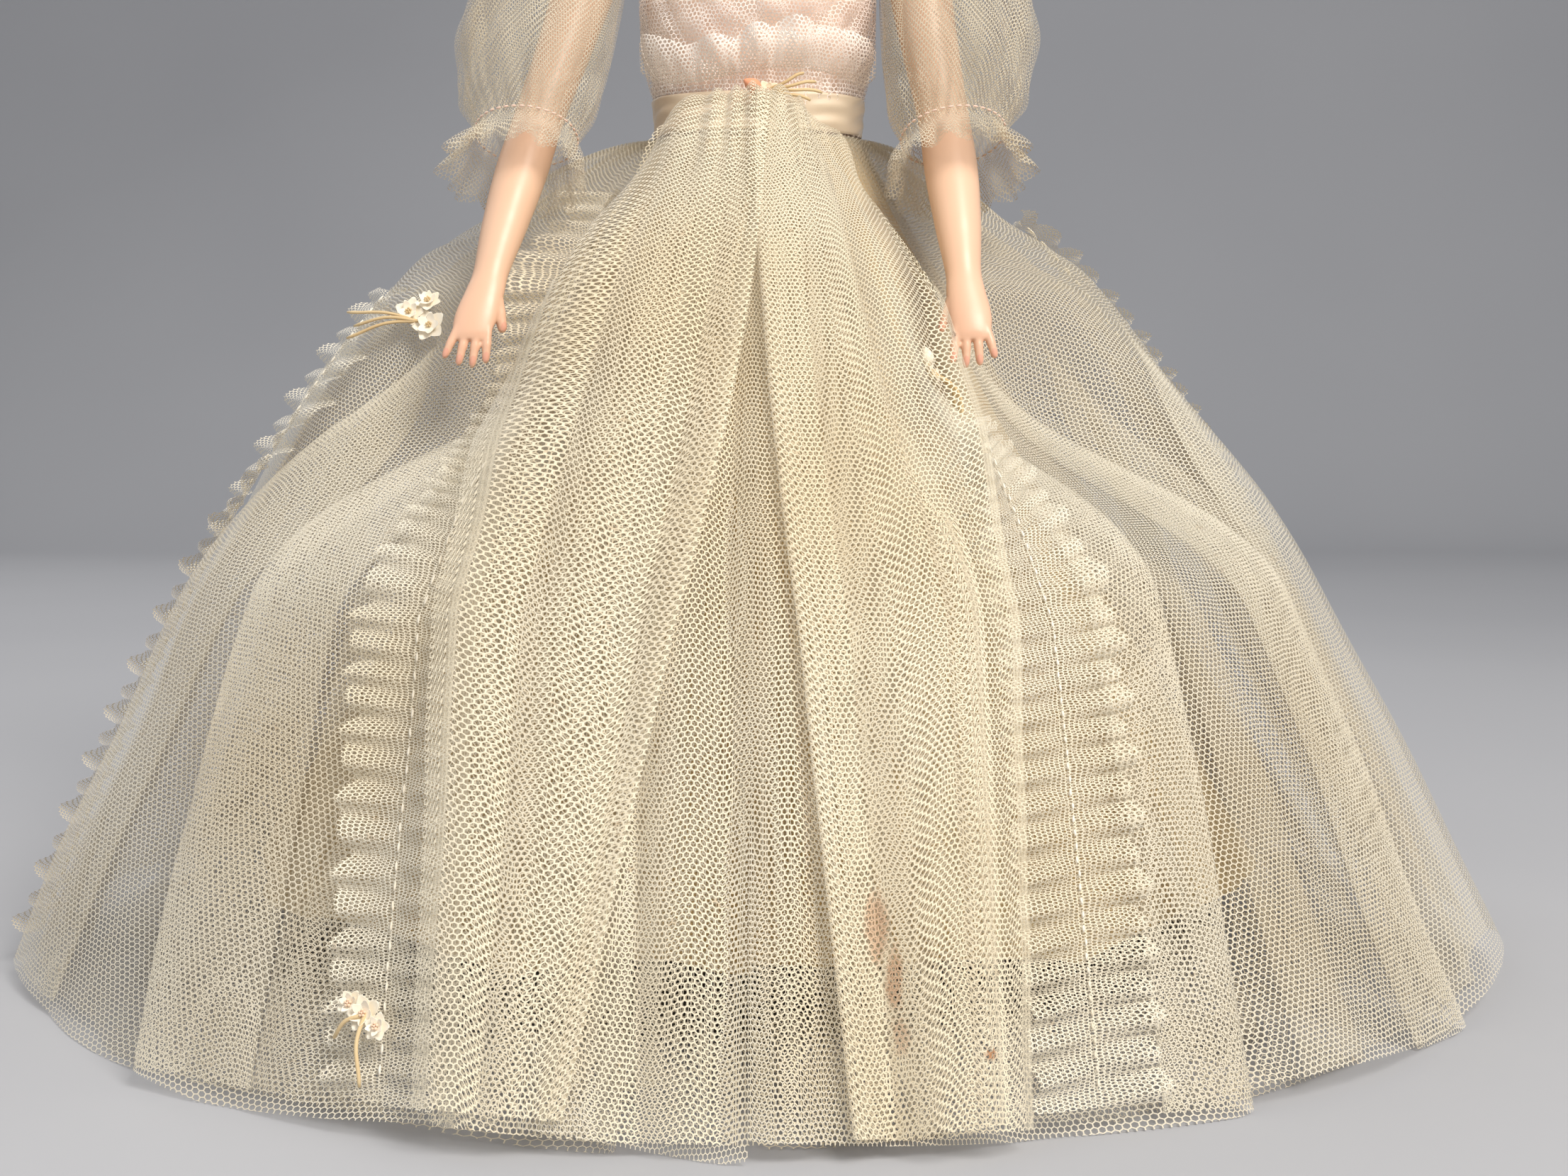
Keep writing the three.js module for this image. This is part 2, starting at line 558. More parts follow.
// Two eyeballs and the weighted rocker that turns them about the line through their centres
function buildEyes(group) {
  for (const [name, side] of [["left_eye", 1], ["right_eye", -1]]) {
    const centre = at((side * EYE_SPACING) / 2, -EYE_DEPTH, eyeHeight);
    addPiece(group, name, ellipsoid(centre, at(EYE_RADIUS, EYE_RADIUS, EYE_RADIUS), 12), eyeGlass);
  }
  const reach = EYE_SPACING / 2 - EYE_RADIUS - CLEARANCE;
  const bar = rodX(1.2, -reach, reach, -EYE_DEPTH, eyeHeight, 8);
  const arm = rodZ(1, eyeHeight - EYE_WEIGHT_DROP, eyeHeight, 0, -EYE_DEPTH, 8);
  const weightAt = at(0, -EYE_DEPTH, eyeHeight - EYE_WEIGHT_DROP);
  const weight = ellipsoid(weightAt, at(EYE_WEIGHT_RADIUS, EYE_WEIGHT_RADIUS, EYE_WEIGHT_RADIUS), 10);
  addPiece(group, "eye_rocker", join(bar, arm, weight), steel);
}

// Hook under the head: a flange on the ledge in the neck, the shank and the ball below the seat
function buildNeckHook(group) {
  const ledge = chin * 0.5 + CLEARANCE;
  const round = [0.53, 1.3, 2.2].map((angle) => {
    return [HOOK_BALL_RADIUS * Math.cos(angle) - NECK_HOOK_REACH, HOOK_BALL_RADIUS * Math.sin(angle)];
  });
  const profile = [
    [ledge + 2, 0],
    [ledge + 2, NECK_RADIUS - HEAD_WALL - 1.5],
    [ledge, NECK_RADIUS - HEAD_WALL - 1.5],
    [ledge, WIRE_RADIUS],
    ...round,
    [-NECK_HOOK_REACH - HOOK_BALL_RADIUS, 0],
  ];
  addPiece(group, "neck_hook", turnedAboutX(profile, 8).rotateY(-Math.PI / 2), steel);
}

// Arm from the shoulder seat: outwards, forwards and down, with half width and half depth
const armStations = [
  [12.5, -2, -6, 11.5, 12.5],
  [15, -10, -26, 10.8, 11.6],
  [18.5, -19, -50, 9.6, 10.2],
  [22, -29, -72, 8.7, 9],
  [24, -41, -92, 8.9, 8.8],
  [25.5, -53, -111, 7.6, 7.2],
  [26.5, -62, -ARM_DROP, 5.9, 5],
  [27, -66.5, -133, 6.4, 4.2],
  [28, -71, -140.5, 7.2, 3.6],
  [28.5, -74, -146, 6.6, 2.8],
];

// Fingers: place across the palm, length and sideways lean, from the index finger out
const fingers = [
  [-4.9, 11, -0.1],
  [-1.7, 12.5, -0.02],
  [1.6, 11.8, 0.07],
  [4.8, 9.2, 0.26],
];
const FINGER_RADIUS = 1.75;

function splayed(side, splay, stations) {
  return stations.map(([x, y, z, ...girth]) => [side * (x + (splay * -z) / ARM_DROP), y, z, ...girth]);
}

function fingerStations(base, lean, length, radius) {
  const share = [-0.25, 0.4, 0.85, 1];
  const girth = [1, 1, 0.85, 0.35];
  return share.map((part, step) => {
    const along = part * length;
    return [
      base.x + lean * along,
      base.y - 0.3 * along + 0.012 * along * along,
      base.z - 0.93 * along,
      radius * girth[step],
      radius * girth[step],
    ];
  });
}

function buildArm(group, word, side, splay) {
  const cap = turnedAboutX(
    [
      [side * CLEARANCE, 0],
      [side * CLEARANCE, SHOULDER_RADIUS],
      [side * 6, SHOULDER_RADIUS + 1],
      [side * 12, SHOULDER_RADIUS + 0.6],
      [side * 17, SHOULDER_RADIUS - 2],
      [side * 20.5, SHOULDER_RADIUS - 6.5],
      [side * 21.5, 0],
    ],
    14,
  );
  const [palmX, palmY, palmZ] = armStations[armStations.length - 1];
  const solids = [cap, limb(splayed(side, splay, armStations), 10)];
  for (const [across, length, lean] of fingers) {
    const stations = fingerStations(at(palmX + across, palmY, palmZ), lean, length, FINGER_RADIUS);
    solids.push(limb(splayed(side, splay, stations), 5));
  }
  const thumbBase = at(palmX - 6.4, palmY + 6, palmZ + 10);
  solids.push(limb(splayed(side, splay, fingerStations(thumbBase, -0.3, 11, FINGER_RADIUS + 0.4)), 5));
  const seatSide = box(at(side * CLEARANCE, -60, -60), at(-side * 30, 60, 60));
  const pocket = rodX(HOOK_PLUG_RADIUS + CLEARANCE, 0, side * (HOOK_PLUG_LENGTH + CLEARANCE), 0, 0, 10);
  addPiece(group, `${word}_arm`, cut(join(...solids), seatSide, pocket), skin);
  addPiece(group, `${word}_arm_hook`, hookAlongX(side, ARM_HOOK_REACH), steel);
}

// Sleeve: centre, direction and two radii of each ring, from the armhole to the edge of the frill
const sleeveStations = [
  [CLEARANCE, 0, 0, 1, 0, 0, 15.5, 15.5],
  [9, -2, -2, 0.9, -0.1, -0.45, 21, 20],
  [17, -6, -10, 0.6, -0.25, -0.75, 26, 25],
  [23, -12, -27, 0.25, -0.35, -0.9, 28, 27],
  [26, -20, -49, 0.15, -0.4, -0.9, 28, 28],
  [26.5, -27, -66, 0.1, -0.42, -0.9, 25, 24.5],
  [25, -32, -79, 0.1, -0.45, -0.9, 18, 18],
  [25.5, -35, -86, 0.1, -0.45, -0.9, 22.5, 22],
  [26, -38, -93, 0.1, -0.45, -0.9, 26, 25.5],
];
const SLEEVE_SIDES = 18;

function sleeveGrid(side, splay, inset) {
  return sleeveStations.map(([x, y, z, nx, ny, nz, radiusY, radiusZ], station) => {
    const along = at(nx, ny, nz).normalize();
    const first = at(0, 1, 0).addScaledVector(along, -along.y).normalize();
    const second = along.clone().cross(first);
    const centre = at(x + (splay * -z) / ARM_DROP, y, z);
    return counted(SLEEVE_SIDES, (column) => {
      const angle = (column / SLEEVE_SIDES) * FULL_TURN;
      const wave = 1 + (station ? SLEEVE_WAVE : 0) * Math.cos((angle * SLEEVE_SIDES) / 2);
      const point = centre
        .clone()
        .addScaledVector(first, (radiusY * wave - inset) * Math.cos(angle))
        .addScaledVector(second, (radiusZ * wave - inset) * Math.sin(angle));
      point.x = side * Math.max(point.x, CLEARANCE + inset);
      return point;
    });
  });
}

function buildSleeve(group, word, side, splay) {
  const cloth = sheet(sleeveGrid(side, splay, 0), sleeveGrid(side, splay, CLOTH), true);
  addPiece(group, `${word}_sleeve`, cloth, ivoryTulle);
}

// Leg from the hip axis down to the ankle, then the foot, raised for a heeled shoe
const floorZ = -HIP_HEIGHT;
const legStations = [
  [28.3, 0, -LEG_DISC_RADIUS * 0.25, 14, 20],
  [28, 0, -LEG_DISC_RADIUS * 0.75, 14.4, 16.5],
  [26, 0, floorZ * 0.175, 15, 17],
  [22.5, 0, floorZ * 0.33, 13, 14],
  [20, -1, floorZ * 0.47, 10.4, 11.4],
  [19, 3, floorZ * 0.6, 10, 12],
  [FOOT_OFFSET, 3.5, floorZ * 0.74, 7.2, 8.4],
  [FOOT_OFFSET, 3, floorZ + 38, 5.4, 6.4],
];
const footStations = [
  [FOOT_OFFSET, 0.5, floorZ + 25, 5.8, 8.4],
  [FOOT_OFFSET, -9, floorZ + 13.5, 7, 6.8],
  [FOOT_OFFSET, -20, floorZ + 7.4, 7.6, 4.4],
  [FOOT_OFFSET, -30, floorZ + 5, 6.4, 2.8],
  [FOOT_OFFSET, -36, floorZ + 4.4, 3.4, 1.8],
];
const heelAt = at(FOOT_OFFSET, 6.5, floorZ + 26);
const HEEL_PAD_RADIUS = 6;
const LEG_SIDES = 10;

function mirrored(side, stations) {
  return stations.map(([x, ...rest]) => [side * x, ...rest]);
}

function heelPad(side, swell) {
  const radius = HEEL_PAD_RADIUS + swell;
  return ellipsoid(at(side * heelAt.x, heelAt.y, heelAt.z), at(radius, radius * 1.1, radius * 1.3), 10);
}

function buildLeg(group, word, side) {
  const seat = PELVIS_HALF_WIDTH + CLEARANCE;
  const disc = turnedAboutX(
    [
      [side * seat, 0],
      [side * seat, LEG_DISC_RADIUS],
      [side * (seat + 17), LEG_DISC_RADIUS],
      [side * (seat + 23), LEG_DISC_RADIUS - 3],
      [side * (seat + 27), LEG_DISC_RADIUS - 10],
      [side * (seat + 28), 0],
    ],
    20,
  );
  const leg = limb(mirrored(side, [...legStations, ...footStations]), LEG_SIDES);
  const pocketEnd = PELVIS_HALF_WIDTH + HOOK_PLUG_LENGTH + CLEARANCE;
  const pocket = rodX(HOOK_PLUG_RADIUS + CLEARANCE, 0, side * pocketEnd, 0, 0, 10);
  addPiece(group, `${word}_leg`, cut(join(disc, leg, heelPad(side, 0)), pocket), skin);
  const hook = hookAlongX(side, LEG_HOOK_REACH).translate(side * PELVIS_HALF_WIDTH, 0, 0);
  addPiece(group, `${word}_leg_hook`, hook, steel);
}

// Heeled shoe: an upper cut down in a curve round the foot, a flat sole and a slim heel
function buildShoe(group, word, side) {
  const outside = limb(mirrored(side, footStations), LEG_SIDES, SHOE_WALL + CLEARANCE);
  const sole = rodZ(1, floorZ, floorZ + SOLE_THICKNESS, 0, 0, 14);
  sole.scale(SOLE_HALF_WIDTH, SOLE_HALF_LENGTH, 1).translate(side * FOOT_OFFSET, -22.5, 0);
  const heel = new THREE.CylinderGeometry(HEEL_RADIUS + HEEL_FLARE, HEEL_RADIUS, HEEL_HEIGHT, 10);
  heel.rotateX(Math.PI / 2).translate(side * FOOT_OFFSET, heelAt.y + 1.5, floorZ + HEEL_HEIGHT / 2);
  const body = join(outside, heelPad(side, SHOE_WALL + CLEARANCE), sole, heel);
  const throat = new THREE.BoxGeometry(60, 120, 40).rotateX(radians(33));
  throat.translate(side * FOOT_OFFSET, -16, floorZ + 39.5);
  const under = box(at(side * FOOT_OFFSET - 30, -80, floorZ - 30), at(side * FOOT_OFFSET + 30, 60, floorZ));
  const foot = limb(mirrored(side, [...legStations.slice(-2), ...footStations]), LEG_SIDES, CLEARANCE);
  addPiece(group, `${word}_shoe`, cut(body, throat, under, foot, heelPad(side, CLEARANCE)), shoeLeather);
}

// Neckline height round the body: low in front and behind, high on the shoulders
function necklineHeight(angle) {
  const high = SHOULDER_TOP + 3;
  return high - NECKLINE_DROP * Math.cos(angle) ** 2;
}

// Everything above the neckline, to cut the bodice with
function necklineCutter() {
  const sides = 16;
  const ring = (radius, height) => {
    return counted(sides, (side) => {
      const angle = (side / sides) * FULL_TURN;
      return at(radius * Math.sin(angle), -radius * Math.cos(angle), height(angle));
    });
  };
  const top = NECK_HEIGHT + 20;
  return loft([ring(4, necklineHeight), ring(BEYOND, necklineHeight), ring(BEYOND, () => top)]);
}

function bodiceCloth(sides, gap, gather) {
  const floor = WAIST_HEIGHT + LAYER_GAP;
  const inside = torsoRows.filter(([height]) => height > floor + 1 && height < SHOULDER_TOP + 1);
  const rows = [rowAt(torsoRows, floor), ...inside, rowAt(torsoRows, SHOULDER_TOP + 5)];
  const grid = (thickness) => {
    return rows.map((row) => {
      return counted(sides, (side) => {
        const angle = (side / sides) * FULL_TURN;
        const wave = side % 2 ? gather * Math.cos(angle) ** 2 : 0;
        return ovalPoint(row, angle, gap + wave + thickness);
      });
    });
  };
  const whole = sheet(grid(CLOTH), grid(0), true);
  const armhole = (side) => {
    const from = side * (SHOULDER_HALF_WIDTH - 4);
    return rodX(SHOULDER_RADIUS + 3, from, side * BEYOND, AXIS_Y, SHOULDER_HEIGHT, 12);
  };
  return cut(whole, necklineCutter(), armhole(-1), armhole(1));
}

// Ribbon round the waist
function sashCloth() {
  const low = WAIST_HEIGHT + 2 * LAYER_GAP;
  const heights = [low, low + SASH_HEIGHT];
  const grid = (offset) => {
    return heights.map((height) => ovalRing(rowAt(torsoRows, height), offset, TORSO_SIDES * 2));
  };
  return sheet(grid(SASH_GAP + SASH_THICKNESS), grid(SASH_GAP), true);
}

// Gathered frill that lies along the neckline
function frillCloth() {
  const columns = TORSO_SIDES * 2;
  const base = OVERLAY_GAP + CLOTH + GATHER_DEPTH + LAYER_GAP;
  const grid = (thickness) => {
    return [0, 0.5, 1].map((across) => {
      return counted(columns, (column) => {
        const angle = (column / columns) * FULL_TURN;
        const width = 2 + FRILL_WIDTH * Math.cos(angle) ** 2;
        const height = necklineHeight(angle) - 0.5 - across * width;
        const wave = column % 2 ? FRILL_WAVE * across : 0;
        const side = Math.abs(Math.sin(angle)) ** 4;
        const offset = base + (wave + 2 * across) * (1 - side) + thickness;
        return ovalPoint(rowAt(torsoRows, height), angle, offset);
      });
    });
  };
  const above = NECK_HEIGHT + BEYOND;
  const between = box(at(-SHOULDER_HALF_WIDTH, -BEYOND, 0), at(SHOULDER_HALF_WIDTH, BEYOND, above));
  return keep(sheet(grid(CLOTH), grid(0), true), between);
}

function buildBodice() {
  addPiece(doll, "bodice_lining", bodiceCloth(TORSO_SIDES, LINING_GAP, 0), peachCloth);
  addPiece(doll, "bodice_tulle", bodiceCloth(TORSO_SIDES * 2, OVERLAY_GAP, GATHER_DEPTH), ivoryTulle);
  addPiece(doll, "waist_sash", sashCloth(), satin);
  addPiece(doll, "neckline_frill", frillCloth(), ivoryTulle);
}

// Where the arms press the outer skirt in beside the front: widely under the sleeves, less under the hands
const SLEEVE_PRESS = { degrees: 60, spread: 32 };
const HAND_PRESS = { degrees: 48, spread: 22 };
const turnOf = (angle) => THREE.MathUtils.radToDeg(Math.atan2(Math.sin(angle), Math.cos(angle)));
function pressed(angle, drop) {
  const lower = smoothstep(drop, 0.09, 0.2);
  const degrees = lerp(SLEEVE_PRESS.degrees, HAND_PRESS.degrees, lower);
  const spread = lerp(SLEEVE_PRESS.spread, HAND_PRESS.spread, lower);
  const reach = Math.exp(-(((Math.abs(turnOf(angle)) - degrees) / spread) ** 4));
  return reach * (1 - smoothstep(drop, 0.3, 0.55));
}

// How fast a skirt widens below the waist: under 1 it swells out at once, over 1 it hangs in. The outer
// skirt is fullest at the front and behind.
const SLACK = 1.12;
function fullness(angle, drop) {
  const turn = turnOf(angle);
  const free = 0.56 - 0.09 * bell(turn, -112, 35) - 0.05 * bell(Math.abs(turn), 0, 30);
  return lerp(free, SLACK, pressed(angle, drop));
}

// Round swells with narrow valleys, 0 to 1, unevenly spaced round a skirt
function swells(angle, count, phase) {
  const uneven = 0.55 * Math.sin(2 * angle + phase) + 0.4 * Math.sin(5 * angle + 2.3 * phase);
  return Math.abs(Math.sin((count / 2) * angle + phase + uneven + 0.25 * Math.sin(9 * angle + phase)));
}

// Folds that are laid to one side: degrees near the waist and at the hem, half width in degrees, which
// side lies on top, and depth
const laidFolds = [
  [-72, -67, 11, -1, 7],
  [-54, -37, 9, -1, 7],
  [40, 29, 6, 1, 4],
  [60, 54, 7, 1, 5],
  [80, 76, 9, 1, 6],
  [-96, -92, 8, -1, 5],
  [122, 126, 9, 1, 6],
  [-134, -138, 9, -1, 6],
  [176, 180, 8, 1, 5],
];
const FOLD_RISE = 2.33;
function skirtFold(angle, drop) {
  const calm = 1 - 0.75 * pressed(angle, drop);
  let height = HEM_SWELL * swells(angle, HEM_SWELLS, 0.4) * Math.sqrt(drop) * calm;
  for (const [top, hem, width, above, depth] of laidFolds) {
    const away = turnOf(angle - radians(lerp(top, hem, drop))) / width;
    height -= above * depth * FOLD_RISE * away * Math.exp(-(away ** 2)) * smoothstep(drop, 0.08, 0.5);
  }
  return height;
}

// A point of a skirt layer. Layer sizes: gap at the waist, hem radius, top and hem heights.
function layerPoint(layer, angle, height, growth, fold) {
  const drop = (layer.top - height) / (layer.top - layer.hem);
  const share = Math.max(drop, 0) ** growth;
  const reachX = lerp(WAIST_HALF_WIDTH + layer.gap, layer.radius, share) + fold;
  const reachY = lerp(WAIST_HALF_DEPTH + layer.gap, layer.radius, share) + fold;
  return at(reachX * Math.sin(angle), -reachY * Math.cos(angle), height);
}

const outerLayer = {
  gap: LINING_GAP + 3 * (CLOTH + LAYER_GAP),
  radius: HEM_RADIUS,
  top: WAIST_HEIGHT,
  hem: 0,
};
const petticoatLayer = {
  gap: LINING_GAP + 2 * (CLOTH + LAYER_GAP),
  radius: PETTICOAT_HEM_RADIUS,
  top: WAIST_HEIGHT - LAYER_GAP,
  hem: PETTICOAT_HEM_HEIGHT,
};
const slipLayer = {
  gap: LINING_GAP + CLOTH + LAYER_GAP,
  radius: SLIP_HEM_RADIUS,
  top: WAIST_HEIGHT - 2 * LAYER_GAP,
  hem: SLIP_HEM_HEIGHT,
};
const SKIRT_COLUMNS = 48;
const skirtDrops = [0, 0.012, 0.05, 0.12, 0.22, 0.36, 0.55, 0.78, 1];
const skirtHeights = skirtDrops.map((drop) => WAIST_HEIGHT * (1 - drop));

function foldedVertex(row, column, inset) {
  const angle = (column / SKIRT_COLUMNS) * FULL_TURN;
  const drop = skirtDrops[row];
  const layer = { ...outerLayer, gap: outerLayer.gap - inset, radius: outerLayer.radius - inset };
  return layerPoint(layer, angle, skirtHeights[row], fullness(angle, drop), skirtFold(angle, drop));
}

// The hem is set out so that the gown reaches equally far all round: less under the panel and the side strip
const foldedHem = counted(SKIRT_COLUMNS, (column) => foldedVertex(skirtDrops.length - 1, column, 0));
const hemReach = (axis, sign) => Math.max(...foldedHem.map((point) => point[axis] * sign));
const hemSet = (axis, sign, swell) => (HEM_RADIUS + swell) / hemReach(axis, sign);
const hemSets = {
  x: [hemSet("x", -1, HEM_SWELL - RUCHE_RISE), hemSet("x", 1, HEM_SWELL)],
  y: [hemSet("y", -1, 0), hemSet("y", 1, HEM_SWELL)],
};
function skirtVertex(row, column, inset) {
  const point = foldedVertex(row, column, inset);
  for (const axis of ["x", "y"]) {
    point[axis] *= lerp(1, hemSets[axis][point[axis] < 0 ? 0 : 1], skirtDrops[row]);
  }
  return point;
}

const skirtGrid = (inset) => {
  return skirtHeights.map((_, row) => counted(SKIRT_COLUMNS, (column) => skirtVertex(row, column, inset)));
};
const skirtOutside = skirtGrid(0);

// The point on the faceted outer skirt at an angle and a height
function skirtSurface(angle, height) {
  const turn = ((angle / FULL_TURN + 2) % 1) * SKIRT_COLUMNS;
  const column = Math.floor(turn);
  const along = turn - column;
  const below = skirtHeights.findIndex((rowHeight) => rowHeight <= height);
  const row = Math.max(below < 0 ? skirtHeights.length - 1 : below, 1) - 1;
  const down = (skirtHeights[row] - height) / (skirtHeights[row] - skirtHeights[row + 1]);
  const a = skirtOutside[row][column];
  const b = skirtOutside[row][(column + 1) % SKIRT_COLUMNS];
  const c = skirtOutside[row + 1][column];
  const d = skirtOutside[row + 1][(column + 1) % SKIRT_COLUMNS];
  if (along + down <= 1) {
    return a.clone().addScaledVector(b.clone().sub(a), along).addScaledVector(c.clone().sub(a), down);
  }
  return d.clone().addScaledVector(c.clone().sub(d), 1 - along).addScaledVector(b.clone().sub(d), 1 - down);
}

// Outwards and a little up, as the skirt faces
const FACING_TILT = radians(28);
function skirtFacing(angle) {
  const level = Math.cos(FACING_TILT);
  return at(level * Math.sin(angle), -level * Math.cos(angle), Math.sin(FACING_TILT));
}

// The angle at which the skirt reaches a given distance to the side, at one height
function angleAtSide(side, distance, height) {
  let low = 0;
  let high = radians(80);
  for (let step = 0; step < 30; step++) {
    const middle = (low + high) / 2;
    if (skirtSurface(middle * side, height).x * side < distance) {
      low = middle;
    } else {
      high = middle;
    }
  }
  return side * low;
}

function buildSkirtLayers() {
  const bands = 3;
  const cone = (layer, columns, fold, inset) => {
    const inner = { ...layer, gap: layer.gap - inset, radius: layer.radius - inset };
    return counted(bands + 1, (band) => {
      const drop = (band / bands) ** 1.5;
      return counted(columns, (column) => {
        const angle = (column / columns) * FULL_TURN;
        return layerPoint(inner, angle, lerp(layer.top, layer.hem, drop), SLACK, fold(angle) * drop);
      });
    });
  };
  const plain = () => 0;
  const slipFold = (angle) => SLIP_SWELL * swells(angle, SLIP_SWELLS, 0.2) - SLIP_TUCK;
  const layerCloth = (layer, columns, fold) => {
    return sheet(cone(layer, columns, fold, 0), cone(layer, columns, fold, CLOTH), true);
  };
  addPiece(doll, "taffeta_slip", layerCloth(slipLayer, 4 * SLIP_SWELLS, slipFold), agedTaffeta);
  addPiece(doll, "petticoat", layerCloth(petticoatLayer, 20, plain), ivoryTulle);
  addPiece(doll, "outer_skirt", sheet(skirtOutside, skirtGrid(CLOTH), true), ivoryTulle);
}

// Ruched strip down the skirt: a line of stitches along its middle and waved edges
function rucheCloth(angleAt, top, bottom, stand) {
  const steps = Math.round(((top - bottom) * 1.25) / (RUCHE_PITCH / 3));
  const grid = (thickness) => {
    return counted(steps + 1, (step) => {
      const height = lerp(top, bottom, step / steps);
      const middle = angleAt(height);
      const reach = skirtSurface(middle, height);
      const spread = RUCHE_WIDTH / 2 / Math.hypot(reach.x, reach.y);
      return [-1, 0, 1].map((across) => {
        const angle = middle + across * spread;
        const wave = (1 + Math.cos((step / 3) * FULL_TURN + across)) / 2;
        const lift = stand + Math.abs(across) * (1.6 + RUCHE_WAVE * wave) + thickness;
        return skirtSurface(angle, height).addScaledVector(skirtFacing(angle), lift);
      });
    });
  };
  return sheet(grid(CLOTH), grid(0), false);
}

// Strips beside the front panel, at the sides and behind: name, where it starts as a share of the way
// down the skirt, its route, and how far its middle stands off the skirt
function buildRuches() {
  const besidePanel = (side, start, topReach) => (height) => {
    const share = (WAIST_HEIGHT * (1 - start) - height) / (WAIST_HEIGHT * (1 - start) - TRIM_HEM_HEIGHT);
    return angleAtSide(side, lerp(topReach, RUCHE_HEM_REACH, share), height);
  };
  const straight = (degrees) => () => radians(degrees);
  const strips = [
    ["front_right_ruche", 0.065, besidePanel(-1, 0.065, RUCHE_RIGHT_REACH), 3.5],
    ["front_left_ruche", 0.4, besidePanel(1, 0.4, RUCHE_LEFT_REACH), 4.6],
    ["side_right_ruche", 0.175, straight(-88), 3.2],
    ["side_left_ruche", 0.107, straight(106), 1.6],
    ["back_right_ruche", 0.065, straight(-160), 1.4],
    ["back_left_ruche", 0.065, straight(160), 1.4],
  ];
  for (const [name, start, route, stand] of strips) {
    const cloth = rucheCloth(route, WAIST_HEIGHT * (1 - start), TRIM_HEM_HEIGHT, stand);
    addPiece(doll, name, cloth, ivoryTulle);
  }
}

// Front panel of the gown: it lies over the inner edges of the two front strips
function buildFrontPanel() {
  const columns = 4 * PANEL_FOLDS + 1;
  const heights = [WAIST_HEIGHT - 2 * CLOTH, ...skirtHeights.slice(1, -1), TRIM_HEM_HEIGHT - 1];
  const grid = (thickness) => {
    return heights.map((height) => {
      const drop = 1 - height / WAIST_HEIGHT;
      const reach = lerp(PANEL_TOP_HALF_WIDTH, PANEL_HEM_HALF_WIDTH, Math.min(drop * 1.8, 1) ** 0.9);
      const folded = PANEL_FOLD_DEPTH * smoothstep(drop, 0, 0.3);
      return counted(columns, (column) => {
        const across = (column / (columns - 1)) * 2 - 1;
        const angle = angleAtSide(Math.sign(across) || 1, Math.abs(across) * reach, height);
        const fold = folded * (1 - Math.cos(across * Math.PI * PANEL_FOLDS));
        const edge = smoothstep(Math.abs(across), 0.35, 0.8) * smoothstep(drop, 0.06, 0.22);
        const lift = PANEL_STAND + PANEL_EDGE_LIFT * edge + fold;
        return skirtSurface(angle, height).addScaledVector(skirtFacing(angle), lift + thickness);
      });
    });
  };
  addPiece(doll, "front_panel", sheet(grid(CLOTH), grid(0), false), ivoryTulle);
}

// A sewn spray: cloth flowers of five petals and bare stems, from a middle point and a facing
function sprayCloth(middle, facing, flowers, stems) {
  const turn = new THREE.Quaternion().setFromUnitVectors(at(0, 0, 1), facing);
  const place = (geometry) => geometry.applyQuaternion(turn).translate(middle.x, middle.y, middle.z);
  const solids = [];
  for (const [x, y, radius] of flowers) {
    const ring = (share, height) => {
      return counted(10, (side) => {
        const angle = (side / 10) * FULL_TURN;
        const reach = radius * share * (1 + 0.16 * Math.cos(5 * angle));
        return at(x + reach * Math.cos(angle), y + reach * Math.sin(angle), height);
      });
    };
    solids.push(place(loft([ring(0.3, 0.8), ring(1, 2.2), ring(0.6, 3.2)])));
  }
  for (const end of stems) {
    const bend = end.clone().multiplyScalar(0.5).add(at(0, 0, 1.6));
    solids.push(place(tube([at(0, 0, 1.6), bend, end], 0.7, 3, 3)));
  }
  return join(...solids);
}

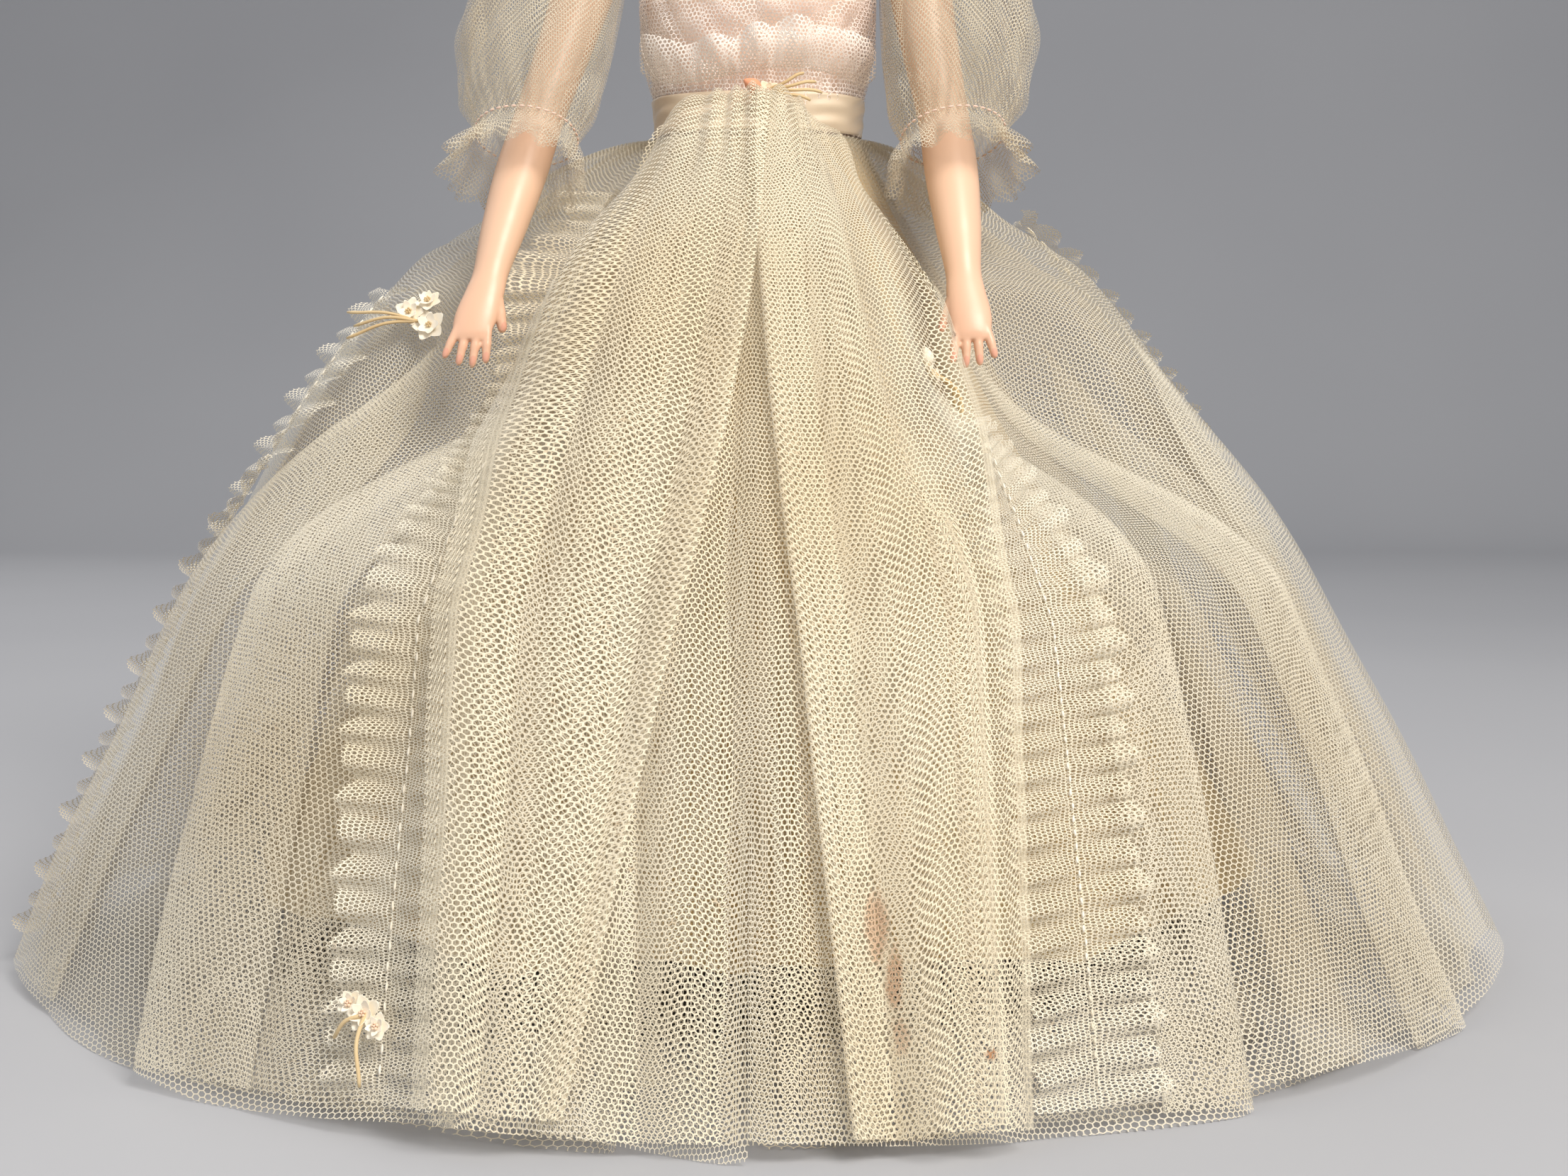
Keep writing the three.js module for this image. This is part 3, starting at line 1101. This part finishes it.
const SPRAY_SPAN = radians(3);
const PETAL_REACH = 5;
function buildSprays() {
  const onSkirt = (degrees, drop, lift, flowers, stems) => {
    const angle = radians(degrees);
    const height = WAIST_HEIGHT * (1 - drop);
    const sideways = skirtSurface(angle + SPRAY_SPAN, height).sub(skirtSurface(angle - SPRAY_SPAN, height));
    const upwards = skirtSurface(angle, height + PETAL_REACH).sub(skirtSurface(angle, height - PETAL_REACH));
    const facing = sideways.cross(upwards).normalize();
    const middle = skirtSurface(angle, height).addScaledVector(facing, lift);
    return sprayCloth(middle, facing, flowers, stems);
  };
  const pair = [[-2.4, 1.6, 4.2], [3, -1.4, 3.8]];
  const hipStems = [at(-12, -4, 5.5), at(-11, 1, 5), at(-12, 5, 5)];
  addPiece(doll, "right_hip_spray", onSkirt(-70, 0.236, -0.2, pair, hipStems), petalCloth);
  const leftStems = [at(3, 11, 2.5), at(-3, 12, 3)];
  addPiece(doll, "left_hip_spray", onSkirt(34, 0.329, -0.5, [[0, -1, 3.4]], leftStems), petalCloth);
  const hemStems = [at(3, 16, 2.5), at(-8, -7, 2.5)];
  addPiece(doll, "hem_spray", onSkirt(-24, 0.907, 6.6, pair, hemStems), petalCloth);
  const front = ovalPoint(rowAt(torsoRows, WAIST_HEIGHT + 7), radians(8), SASH_GAP + SASH_THICKNESS - 0.2);
  const waistStems = [at(14, 2, 2.4), at(15, -2, 2.4), at(-11, 3, 2.6)];
  addPiece(doll, "waist_spray", sprayCloth(front, at(0, -1, 0), [[-2, 1, 3.6]], waistStems), petalCloth);
}

// Snap fasteners down the back opening of the bodice, on the lining under the tulle's edge
function buildSnaps() {
  const places = [["upper_snap", 0.66], ["lower_snap", 0.32]];
  for (const [name, share] of places) {
    const height = lerp(WAIST_HEIGHT, SHOULDER_HEIGHT, share);
    const offset = OVERLAY_GAP + CLOTH + GATHER_DEPTH + CLEARANCE;
    const seat = ovalPoint(rowAt(torsoRows, height), Math.PI, offset);
    const disc = new THREE.CylinderGeometry(SNAP_RADIUS * 0.7, SNAP_RADIUS, SNAP_HEIGHT, 12);
    addPiece(doll, name, disc.translate(seat.x, seat.y + SNAP_HEIGHT / 2 - SNAP_SINK, seat.z), steel);
  }
}

buildTorso();
buildStringing();

const head = groupAt(0, AXIS_Y, NECK_HEIGHT);
buildHead(head);
buildWig(head);
buildEyes(head);
buildNeckHook(head);

for (const [word, side, splay] of [["left", 1, LEFT_SPLAY], ["right", -1, RIGHT_SPLAY]]) {
  const arm = groupAt(side * SHOULDER_HALF_WIDTH, AXIS_Y, SHOULDER_HEIGHT);
  buildArm(arm, word, side, splay);
  buildSleeve(arm, word, side, splay);
  const leg = groupAt(0, AXIS_Y, HIP_HEIGHT);
  buildLeg(leg, word, side);
  buildShoe(leg, word, side);
}

buildBodice();
buildSkirtLayers();
buildRuches();
buildFrontPanel();
buildSprays();
buildSnaps();

export default doll;
